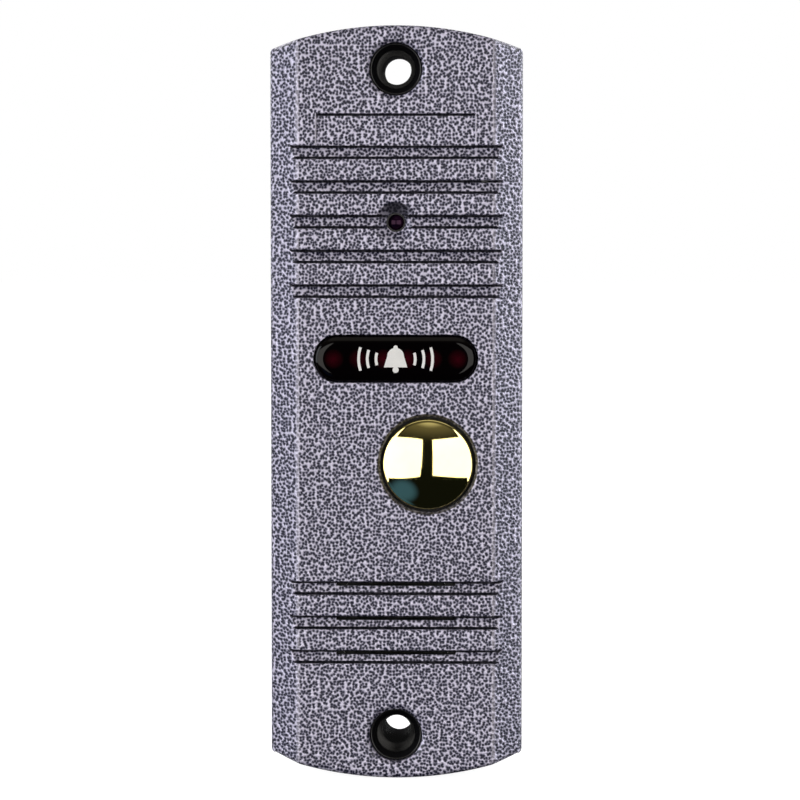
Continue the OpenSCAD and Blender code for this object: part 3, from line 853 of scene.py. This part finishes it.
def build_button_spring():
    """The return spring: a coil of round wire rising from its seat towards the cap."""
    low, high = drawn_box("button_spring")
    coil_r = (high[0] - low[0]) / 2 - WIRE_R
    seat = low[2]
    rise = high[2] - seat - 2 * WIRE_R
    count = SPRING_TURNS * STEPS_PER_TURN
    path = []
    for i in range(count + 1):
        a = 2 * math.pi * SPRING_TURNS * i / count
        x = BUTTON[0] + coil_r * math.cos(a)
        up = BUTTON[1] + coil_r * math.sin(a)
        path.append(Vector((x, up, seat + WIRE_R + rise * i / count)))
    obj = make_object("return_spring", sweep(path, WIRE_R))
    smooth(obj)
    finish_piece(obj, "station", "spring_steel", "button_spring")
    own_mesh(obj)


def build_lens_barrel():
    """The lens barrel with the fine baffle steps round its opening."""
    low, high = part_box("lens_barrel")
    back = -high.y / MM
    nose = -low.y / MM
    flange_r = 6
    flange_front = 18.4
    nose_r = 2.5
    lip = 0.15
    first_step = nose - 0.15
    second_step = nose - 0.35
    section = [(4.5, back), (flange_r, back), (flange_r, flange_front), (4.6, flange_front)]
    section += [(2.6, 19.9), (nose_r, 19.9), (nose_r, first_step)]
    section += arc((nose_r - lip, first_step), lip, 0, 90, 4)
    section += [(2.0, nose), (1.95, first_step), (1.65, first_step), (1.6, second_step)]
    section += [(1.3, second_step), (1.2, nose - 0.5), (1.2, 19), (2.0, 19), (2.0, back)]
    obj = make_object("lens_housing", lathe(section, (0, CAMERA_Y), 96, ring=True))
    smooth(obj)
    finish_piece(obj, "station", "lens_black", "lens_barrel")


def build_lens_glass():
    """The domed front element of the lens."""
    low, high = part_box("lens_glass")
    back = -high.y / MM
    front = -low.y / MM
    radius = (high.x - low.x) / 2 / MM
    rise = min(0.35, (front - back) * 0.6)
    curve_r = (radius * radius + rise * rise) / (2 * rise)
    reach = math.degrees(math.asin(radius / curve_r))
    dome = arc((0, front - curve_r), curve_r, 90, 90 - reach, 12)
    obj = make_object("front_element", lathe(dome + [(radius, back), (0, back)], (0, CAMERA_Y), 64))
    smooth(obj)
    finish_piece(obj, "station", "lens_glass", "lens_glass")


# ---------- material helpers ----------


class Tree:
    """The nodes of a material or of the world, made and joined in one call each."""

    def __init__(self, owner, output="ShaderNodeOutputMaterial"):
        self.owner = owner
        self.owner.use_nodes = True
        self.tree = self.owner.node_tree
        self.tree.nodes.clear()
        self.output = self.add(output)

    def add(self, kind, **settings):
        node = self.tree.nodes.new(kind)
        for key, value in settings.items():
            setattr(node, key, value)
        return node

    def link(self, source, target):
        self.tree.links.new(source, target)

    def place(self):
        """Object coordinates, in metres."""
        return self.add("ShaderNodeTexCoord").outputs["Object"]

    def noise(self, scale, detail=2.0, roughness=0.5, distortion=0.0):
        node = self.add("ShaderNodeTexNoise")
        node.inputs["Scale"].default_value = scale
        node.inputs["Detail"].default_value = detail
        node.inputs["Roughness"].default_value = roughness
        node.inputs["Distortion"].default_value = distortion
        self.link(self.place(), node.inputs["Vector"])
        return node.outputs["Fac"]

    def ramp(self, source, stops):
        """A colour for each level of a value, from stops of (position, colour)."""
        node = self.add("ShaderNodeValToRGB")
        elements = node.color_ramp.elements
        while len(elements) < len(stops):
            elements.new(0.5)
        for element, (position, colour) in zip(elements, stops):
            element.position = position
            element.color = (*colour, 1)
        self.link(source, node.inputs["Fac"])
        return node.outputs["Color"]

    def math(self, operation, a, b=None, clamp=False):
        node = self.add("ShaderNodeMath", operation=operation, use_clamp=clamp)
        for value, socket in zip((a, b), node.inputs):
            if isinstance(value, (int, float)):
                socket.default_value = value
            elif value is not None:
                self.link(value, socket)
        return node.outputs["Value"]

    def spread(self, source, low, high):
        """A 0 to 1 value spread between two others."""
        node = self.add("ShaderNodeMapRange")
        node.inputs["To Min"].default_value = low
        node.inputs["To Max"].default_value = high
        self.link(source, node.inputs["Value"])
        return node.outputs["Result"]

    def mix(self, factor, a, b):
        """A blend of two colours."""
        node = self.add("ShaderNodeMix", data_type="RGBA")
        for value, socket in ((factor, node.inputs[0]), (a, node.inputs[6]), (b, node.inputs[7])):
            if isinstance(value, tuple):
                socket.default_value = (*value, 1)
            elif isinstance(value, (int, float)):
                socket.default_value = value
            else:
                self.link(value, socket)
        return node.outputs[2]

    def parts(self, vector):
        """The x, y and z of a vector."""
        node = self.add("ShaderNodeSeparateXYZ")
        self.link(vector, node.inputs["Vector"])
        return tuple(node.outputs)

    def cells(self, a, b, scale):
        """Distance to the nearest of a flat scatter of points."""
        plane = self.add("ShaderNodeCombineXYZ")
        self.link(a, plane.inputs["X"])
        self.link(b, plane.inputs["Y"])
        node = self.add("ShaderNodeTexVoronoi", voronoi_dimensions="2D", feature="F1")
        node.inputs["Scale"].default_value = scale
        node.inputs["Randomness"].default_value = 0.85
        self.link(plane.outputs["Vector"], node.inputs["Vector"])
        return node.outputs["Distance"]

    def choose(self, factor, a, b):
        """One of two values, or a blend of them."""
        node = self.add("ShaderNodeMix", data_type="FLOAT")
        for value, socket in zip((factor, a, b), (node.inputs[0], node.inputs[2], node.inputs[3])):
            self.link(value, socket)
        return node.outputs[0]

    def bump(self, height, distance, strength=1.0):
        node = self.add("ShaderNodeBump")
        node.inputs["Strength"].default_value = strength
        node.inputs["Distance"].default_value = distance
        self.link(height, node.inputs["Height"])
        return node.outputs["Normal"]

    def surface(self, colour=None, roughness=None, normal=None, **fixed):
        """The shader: linked colour, roughness and normal, and other sockets set directly."""
        shader = self.add("ShaderNodeBsdfPrincipled")
        for source, key in ((colour, "Base Color"), (roughness, "Roughness"), (normal, "Normal")):
            if source is not None:
                self.link(source, shader.inputs[key])
        for key, value in fixed.items():
            socket = shader.inputs[key.replace("_", " ")]
            socket.default_value = value
        self.link(shader.outputs["BSDF"], self.output.inputs["Surface"])
        return self.owner

    def either(self, factor, first, second):
        """The first shader where a factor is 0, the second where it is 1."""
        node = self.add("ShaderNodeMixShader")
        for source, socket in zip((factor, first, second), node.inputs):
            self.link(source, socket)
        self.link(node.outputs["Shader"], self.output.inputs["Surface"])


def look(slot):
    """The nodes of a new material for a slot."""
    return Tree(bpy.data.materials.new(slot + "_look"))


# ---------- materials ----------


def flat_cells(t, scale):
    """Distance to the nearest cell centre, with the cells laid in the plane each face looks along.

    A block of cells cut by a flat face would give uneven spots, so each face has its own plane.
    """
    x, y, z = t.parts(t.place())
    facing = t.add("ShaderNodeTexCoord").outputs["Normal"]
    beside, ahead, above = (t.math("ABSOLUTE", part) for part in t.parts(facing))
    front = t.cells(x, z, scale)
    side = t.cells(y, z, scale)
    end = t.cells(x, y, scale)
    outer = t.choose(t.math("GREATER_THAN", beside, above), end, side)
    return t.choose(t.math("GREATER_THAN", ahead, 0.6), outer, front)


def hammertone_paint():
    """Grey lacquer that has drawn up into light flakes with dark pits between them."""
    t = look("hammertone_paint")
    pits = flat_cells(t, 1850)
    veins = t.noise(2600, detail=1.0, roughness=0.5)
    ragged = t.math("MULTIPLY", t.math("SUBTRACT", veins, 0.5), 0.7)
    grain = t.math("ADD", pits, ragged)
    drift = t.noise(70, detail=1.0)
    shifted = t.math("ADD", grain, t.spread(drift, -0.02, 0.02))
    dark = (0.002, 0.002, 0.018)
    light = (0.66, 0.63, 0.8)
    stops = [
        (0.2, dark), (0.32, (0.055, 0.055, 0.1)), (0.45, (0.24, 0.23, 0.32)), (0.66, light),
    ]
    flakes = t.ramp(shifted, stops)
    # Painted shade: a face value that mixes a near-black colour into the paint where shade falls in
    # the grooves, round the lens and round the button.
    painted_shade = t.add("ShaderNodeAttribute", attribute_name="painted_shade").outputs["Fac"]
    # Painted highlight: a face value that mixes a pale colour into the paint where the rounded
    # edges catch the side lights.
    painted_highlight = t.add("ShaderNodeAttribute", attribute_name="painted_highlight").outputs["Fac"]
    highlighted = t.mix(painted_highlight, flakes, (0.62, 0.59, 0.72))
    colour = t.mix(painted_shade, highlighted, (0.012, 0.012, 0.018))
    roughness = t.spread(grain, 0.42, 0.3)
    normal = t.bump(grain, 0.00012)
    return t.surface(colour, roughness, normal, Metallic=0.2, Coat_Weight=0.3, Coat_Roughness=0.12)


def gold_plate():
    """Polished gold plating with the faintest handling marks."""
    t = look("gold_plate")
    marks = t.noise(900, detail=4, roughness=0.7)
    haze = t.noise(120, detail=3)
    colour = t.ramp(haze, [(0.3, (0.93, 0.8, 0.31)), (0.7, (0.97, 0.85, 0.37))])
    roughness = t.spread(marks, 0.02, 0.07)
    dents = t.noise(150, detail=0.0)
    normal = t.bump(dents, 0.00013)
    return t.surface(colour, roughness, normal, Metallic=1.0)


def window_acrylic():
    """Near-black red acrylic; the light of the lamps behind it is painted into its colour as faint
    red spots.
    """
    t = look("window_acrylic")
    painted_glow = None
    for i in range(1, 7):
        low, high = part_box(f"ir_led_{i}")
        centre = (low + high) / 2
        distance = t.add("ShaderNodeVectorMath", operation="DISTANCE")
        t.link(t.place(), distance.inputs[0])
        distance.inputs[1].default_value = (centre.x, -WINDOW_FRONT * MM, centre.z)
        near = t.math("SUBTRACT", 1.0, t.math("MULTIPLY", distance.outputs["Value"], 600), True)
        painted_glow = near if painted_glow is None else t.math("MAXIMUM", painted_glow, near)
    cloud = t.noise(500, detail=2)
    # Painted light: the red spots stand for the lamps behind shining through, not for the acrylic's
    # own colour.
    spot = t.math("MULTIPLY", painted_glow, t.spread(cloud, 0.2, 1.0), True)
    colour = t.ramp(spot, [(0.0, (0.0012, 0.0006, 0.001)), (0.8, (0.045, 0.0015, 0.006))])
    roughness = t.spread(t.noise(1500, detail=3), 0.03, 0.08)
    return t.surface(colour, roughness, Specular_IOR_Level=0.17)


def fine_grain(name, colour, roughness, grain=1500, depth=0.00002, spread=0.25, **fixed):
    """A plain finish with fine grain in its colour, gloss and relief."""
    t = look(name)
    fine = t.noise(grain, detail=3)
    broad = t.noise(grain / 12, detail=2)
    dark = tuple(c * (1 - spread) for c in colour)
    light = tuple(min(1, c * (1 + spread)) for c in colour)
    mottle = t.math("MULTIPLY", t.math("ADD", fine, broad), 0.5)
    tone = t.ramp(mottle, [(0.35, dark), (0.65, light)])
    gloss = t.spread(fine, roughness * 0.8, min(1, roughness * 1.2))
    return t.surface(tone, gloss, t.bump(fine, depth), **fixed)


def turned_metal(name, colour, roughness, pitch):
    """Metal with fine machining lines along its length."""
    t = look(name)
    wave = t.add("ShaderNodeTexWave", bands_direction="Y")
    wave.inputs["Scale"].default_value = pitch
    wave.inputs["Distortion"].default_value = 2.0
    wave.inputs["Detail"].default_value = 2.0
    t.link(t.place(), wave.inputs["Vector"])
    stain = t.noise(600, detail=4)
    worn = tuple(c * 0.7 for c in colour)
    tone = t.ramp(stain, [(0.35, worn), (0.65, colour)])
    gloss = t.spread(stain, roughness * 0.7, roughness * 1.3)
    return t.surface(tone, gloss, t.bump(wave.outputs["Fac"], 0.00001, 0.5), Metallic=1.0)


def moulded_black():
    """Black plastic, spark-textured on the face against the wall and glossy inside its tubes."""
    t = look("black_gloss_plastic")
    depth = t.parts(t.place())[1]
    textured = t.math("GREATER_THAN", depth, -0.6 * MM)
    grit = t.noise(3200, detail=3, roughness=0.6)
    cloud = t.noise(90, detail=2)
    mottle = t.math("MULTIPLY", t.math("ADD", grit, cloud), 0.5)
    tone = t.ramp(mottle, [(0.35, (0.016, 0.016, 0.017)), (0.65, (0.04, 0.04, 0.042))])
    colour = t.mix(textured, (0.006, 0.006, 0.007), tone)
    roughness = t.choose(textured, t.spread(grit, 0.16, 0.24), t.spread(grit, 0.42, 0.58))
    relief = t.math("MULTIPLY", grit, textured)
    return t.surface(colour, roughness, t.bump(relief, 0.00006), Specular_IOR_Level=0.4)


def circuit_board():
    """Green solder mask over copper tracks, with a fine weave of glass cloth."""
    t = look("circuit_board")
    turned = t.add("ShaderNodeVectorRotate", rotation_type="X_AXIS")
    turned.inputs["Angle"].default_value = math.radians(90)
    t.link(t.place(), turned.inputs["Vector"])
    tracks = t.add("ShaderNodeTexBrick", offset=0.5, squash=1.6)
    tracks.inputs["Scale"].default_value = 260
    tracks.inputs["Mortar Size"].default_value = 0.06
    tracks.inputs["Mortar Smooth"].default_value = 0.2
    t.link(turned.outputs["Vector"], tracks.inputs["Vector"])
    weave = t.noise(3000, detail=2)
    mask = t.ramp(weave, [(0.3, (0.008, 0.075, 0.028)), (0.7, (0.014, 0.11, 0.045))])
    colour = t.mix(tracks.outputs["Fac"], mask, (0.03, 0.21, 0.08))
    roughness = t.spread(weave, 0.28, 0.42)
    return t.surface(colour, roughness, t.bump(tracks.outputs["Fac"], 0.00003), Coat_Weight=0.2)


def cone_paper():
    """Pressed black paper with short pale fibres."""
    t = look("cone_paper")
    fibres = t.noise(2200, detail=6, roughness=0.75, distortion=1.5)
    colour = t.ramp(fibres, [(0.4, (0.012, 0.012, 0.012)), (0.75, (0.07, 0.068, 0.06))])
    return t.surface(colour, t.spread(fibres, 0.8, 0.95), t.bump(fibres, 0.00005))


def copper_wire():
    """Enamelled copper wound in close turns, with painted shade in the grooves between them."""
    t = look("copper_wire")
    wave = t.add("ShaderNodeTexWave", bands_direction="Y")
    wave.inputs["Scale"].default_value = 1600
    t.link(t.place(), wave.inputs["Vector"])
    # Painted shade: the darker end of these stops colours the grooves between the turns.
    stops = [(0.0, (0.22, 0.06, 0.02)), (0.6, (0.78, 0.33, 0.14))]
    colour = t.ramp(wave.outputs["Fac"], stops)
    roughness = t.spread(t.noise(900), 0.2, 0.35)
    return t.surface(colour, roughness, t.bump(wave.outputs["Fac"], 0.00004), Metallic=0.9)


def coated_glass():
    """Lens glass with a violet coating; the faint violet in its colour is a painted reflection of
    the coating.
    """
    t = look("lens_glass")
    painted_reflection_and_gloss = t.noise(500, detail=1)
    # Painted reflection: the faint violet blotches stand for the coating's reflection; the
    # roughness varies with the same noise.
    colour = t.ramp(painted_reflection_and_gloss, [(0.3, (0.004, 0.001, 0.006)), (0.7, (0.015, 0.004, 0.016))])
    roughness = t.spread(painted_reflection_and_gloss, 0.02, 0.05)
    return t.surface(
        colour, roughness, Specular_IOR_Level=0.2, Specular_Tint=(0.9, 0.45, 0.8, 1),
    )


def make_materials():
    """One material for each slot of the record."""
    clear = dict(Transmission_Weight=0.3)
    made = [
        hammertone_paint(), gold_plate(), window_acrylic(), moulded_black(),
        circuit_board(), cone_paper(), copper_wire(), coated_glass(),
        fine_grain("white_print", (0.86, 0.86, 0.86), 0.4, grain=4000, spread=0.04),
        fine_grain("black_matte_plastic", (0.025, 0.025, 0.027), 0.55, depth=0.00004),
        fine_grain("black_rubber", (0.018, 0.018, 0.018), 0.75, grain=2500, depth=0.00003),
        turned_metal("zinc_screw_steel", (0.62, 0.63, 0.65), 0.32, 1500),
        turned_metal("spring_steel", (0.5, 0.5, 0.52), 0.25, 2500),
        fine_grain("chip_epoxy", (0.02, 0.02, 0.022), 0.5, grain=5000, depth=0.00001),
        fine_grain("nylon_connector", (0.75, 0.72, 0.64), 0.45, grain=900, spread=0.06),
        fine_grain("lens_black", (0.006, 0.006, 0.007), 0.35, grain=3000, depth=0.00001),
        fine_grain("led_epoxy", (0.10, 0.02, 0.06), 0.08, grain=700, **clear),
        turned_metal("brass_standoff", (0.75, 0.55, 0.22), 0.28, 1200),
        fine_grain("capacitor_sleeve", (0.02, 0.03, 0.09), 0.3, grain=1200),
        fine_grain("trimmer_blue", (0.02, 0.10, 0.42), 0.4, grain=1400, spread=0.12),
        turned_metal("speaker_steel", (0.42, 0.42, 0.43), 0.35, 900),
        fine_grain("lead_insulation", (0.35, 0.02, 0.02), 0.4, grain=2000, spread=0.15),
    ]
    return {material.name.removesuffix("_look"): material for material in made}


def dress_cad_nodes():
    """Gives every carried-over CAD node the finish of its slot."""
    for part in frame["record"]["subparts"]:
        obj = frame["nodes"][part["node"]]
        material = MATERIALS[part["material_slot"]]
        if not obj.material_slots:
            obj.data.materials.append(material)
        for slot in obj.material_slots:
            slot.link = "OBJECT"
            slot.material = material


# ---------- studio ----------


def aim(obj, target):
    """Points a camera or light at a place."""
    direction = Vector(target) - obj.location
    obj.rotation_mode = "QUATERNION"
    obj.rotation_quaternion = direction.to_track_quat("-Z", "Y")


def toward(azimuth, elevation):
    """The direction from the panel at two angles in degrees; azimuth 0 is straight in front."""
    a = math.radians(azimuth)
    e = math.radians(elevation)
    return Vector((math.sin(a) * math.cos(e), -math.cos(a) * math.cos(e), math.sin(e)))


def softbox(name, azimuth, elevation, distance, width, height, radiance, tint):
    """A large soft light, placed by its direction from the panel."""
    data = bpy.data.lights.new(name, "AREA")
    data.shape = "RECTANGLE"
    data.size = width
    data.size_y = height
    data.energy = radiance * width * height * math.pi
    data.color = tint
    obj = add_object(name, data)
    obj.location = toward(azimuth, elevation) * distance
    aim(obj, (0, 0, 0))
    obj.visible_camera = False


def add_lights():
    """Two front softboxes with a dark gap between them, one at each side, and dim ones behind."""
    warm = (1.0, 0.97, 0.92)
    cool = (0.93, 0.96, 1)
    neutral = (1, 1, 1)
    softbox("left_box", -31.3, 2, 1.0, 0.86, 0.65, 3.0, warm)
    softbox("right_box", 26.6, 2, 1.0, 0.86, 0.65, 3.0, warm)
    softbox("side_left", -72, 10, 1.0, 0.5, 0.8, 3.8, cool)
    softbox("side_right", 104, 10, 1.0, 0.5, 0.8, 4.0, cool)
    softbox("back_left", -140, 25, 1.2, 0.9, 0.9, 1.7, neutral)
    softbox("back_right", 140, 25, 1.2, 0.9, 0.9, 1.7, neutral)


def direction_patch(t, direction, azimuth, elevation, inner, outer):
    """1 within an angle of a direction, falling to 0 at a wider one; angles in degrees."""
    dot = t.add("ShaderNodeVectorMath", operation="DOT_PRODUCT")
    dot.inputs[1].default_value = toward(azimuth, elevation)
    t.link(direction, dot.inputs[0])
    fade = t.add("ShaderNodeMapRange", interpolation_type="SMOOTHSTEP")
    fade.inputs["From Min"].default_value = math.cos(math.radians(outer))
    fade.inputs["From Max"].default_value = math.cos(math.radians(inner))
    t.link(dot.outputs["Value"], fade.inputs["Value"])
    return fade.outputs["Result"]


def add_world():
    """White to the camera; a dim studio room to everything else."""
    world = bpy.data.worlds.new("studio")
    bpy.context.scene.world = world
    t = Tree(world, "ShaderNodeOutputWorld")
    direction = t.add("ShaderNodeTexCoord").outputs["Generated"]
    colour = (0.005, 0.006, 0.005)
    patches = [
        (0, 75, 35, 60, (0.15, 0.135, 0.1)),  # ceiling
        (0, 62, 22, 31, (0.62, 0.58, 0.5)),  # ceiling lamp
        (-26, -29, 5, 15, (0.035, 0.1, 0.26)),  # bluish patch at lower left
        (180, 10, 60, 100, (0.35, 0.35, 0.36)),  # wall behind the panel
        (180, 3, 16, 30, (0.01, 0.01, 0.01)),  # its dark middle, seen through the screw bores
    ]
    for azimuth, elevation, inner, outer, tint in patches:
        patch = direction_patch(t, direction, azimuth, elevation, inner, outer)
        colour = t.mix(patch, colour, tint)
    room = t.add("ShaderNodeBackground")
    t.link(colour, room.inputs["Color"])
    white = t.add("ShaderNodeBackground")
    white.inputs["Color"].default_value = (1, 1, 1, 1)
    seen = t.add("ShaderNodeLightPath").outputs["Is Camera Ray"]
    t.either(seen, room.outputs["Background"], white.outputs["Background"])


def floor_material():
    """Pale floor, seen only from above."""
    t = look("pale_floor")
    t.surface(
        Base_Color=(0.35, 0.35, 0.35, 1), Roughness=0.9, Emission_Color=(1, 1, 1, 1),
        Emission_Strength=0.93,
    )
    lit = t.output.inputs["Surface"].links[0].from_socket
    under = t.add("ShaderNodeNewGeometry").outputs["Backfacing"]
    t.either(under, lit, t.add("ShaderNodeBsdfTransparent").outputs["BSDF"])
    return t.owner


def add_floor():
    """A wide plain floor just under the panel."""
    height = CAD_BOX[0].z - 0.2 * MM
    side = 6.0
    bm = bmesh.new()
    bm.faces.new([bm.verts.new((x, y, height)) for x, y in rectangle(0, 0, side, side)])
    floor = make_object("floor", bm)
    floor.data.materials.append(floor_material())
    floor.visible_glossy = False
    floor.visible_diffuse = False


def add_camera():
    """A long lens a little above the panel and to its right."""
    data = bpy.data.cameras.new("camera")
    data.lens = 161.5
    data.sensor_width = 36
    obj = add_object("camera", data)
    obj.location = (0.016, -0.602, 0.035)
    aim(obj, (0.0007, -0.023, 0.00065))
    data.clip_start = 0.01
    bpy.context.scene.camera = obj


# ---------- assembly ----------

bpy.context.scene.view_settings.view_transform = "Standard"
MATERIALS = make_materials()
dress_cad_nodes()
build_front_housing()
build_button_cap()
build_button_spring()
build_window()
build_back_cover()
build_cover_screws()
build_grommet()
build_lens_barrel()
build_lens_glass()
add_camera()
add_lights()
add_world()
add_floor()
